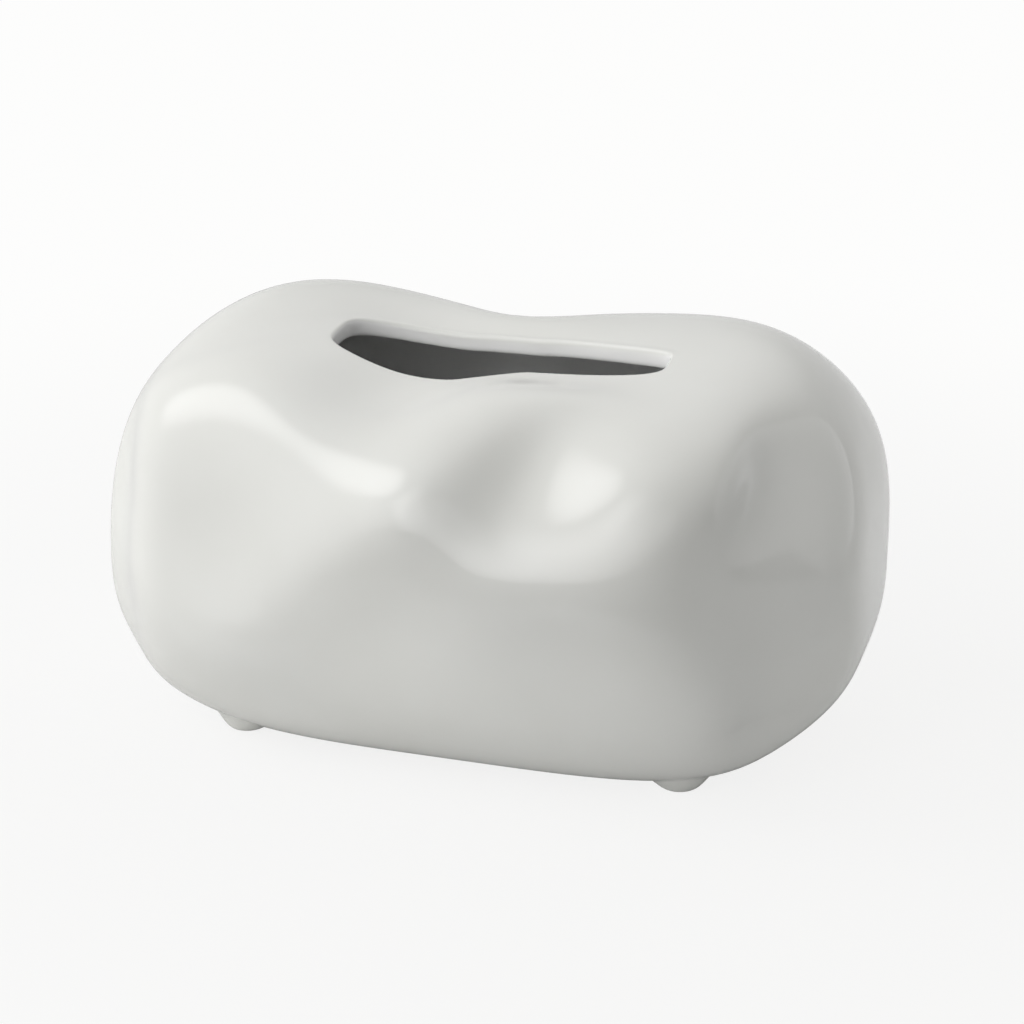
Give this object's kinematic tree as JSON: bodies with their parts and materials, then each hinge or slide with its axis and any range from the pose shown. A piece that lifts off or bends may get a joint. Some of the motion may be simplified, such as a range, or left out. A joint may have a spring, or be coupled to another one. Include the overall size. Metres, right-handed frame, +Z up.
{
  "type": "tissue box cover",
  "caption": "Glossy white ceramic tissue box cover shaped like a crumpled cushion, with a wavy slot on top, small cast feet and a magnetic closure plate underneath.",
  "frame": {"origin": "middle of the object's footprint, on the surface it stands on", "axes": "+X along the long side, to the right as seen from the front; +Y from front to back; +Z up"},
  "size_m": [0.24, 0.144, 0.1295],
  "materials": {
    "ceramic_glaze": "glossy clear glaze over a white body",
    "closure_plastic": "fine matte moulded plastic",
    "magnet_nickel": "bright nickel plate",
    "disc_steel": "zinc plated steel",
    "pad_rubber": "matte light grey silicone"
  },
  "bodies": {
    "closure": {"base_plate": "closure_plastic", "disc_front_left": "disc_steel", "disc_front_right": "disc_steel", "disc_back_left": "disc_steel", "disc_back_right": "disc_steel"},
    "cover": {"shell": "ceramic_glaze", "magnet_front_left": "magnet_nickel", "magnet_front_right": "magnet_nickel", "magnet_back_left": "magnet_nickel", "magnet_back_right": "magnet_nickel", "pad_front_left": "pad_rubber", "pad_front_right": "pad_rubber", "pad_back_left": "pad_rubber", "pad_back_right": "pad_rubber"}
  },
  "joints": [
    {"name": "cover_lift", "type": "slide", "parent": "closure", "child": "cover", "axis": [0, 0, 1], "range_m": [0, 0.15]}
  ]
}
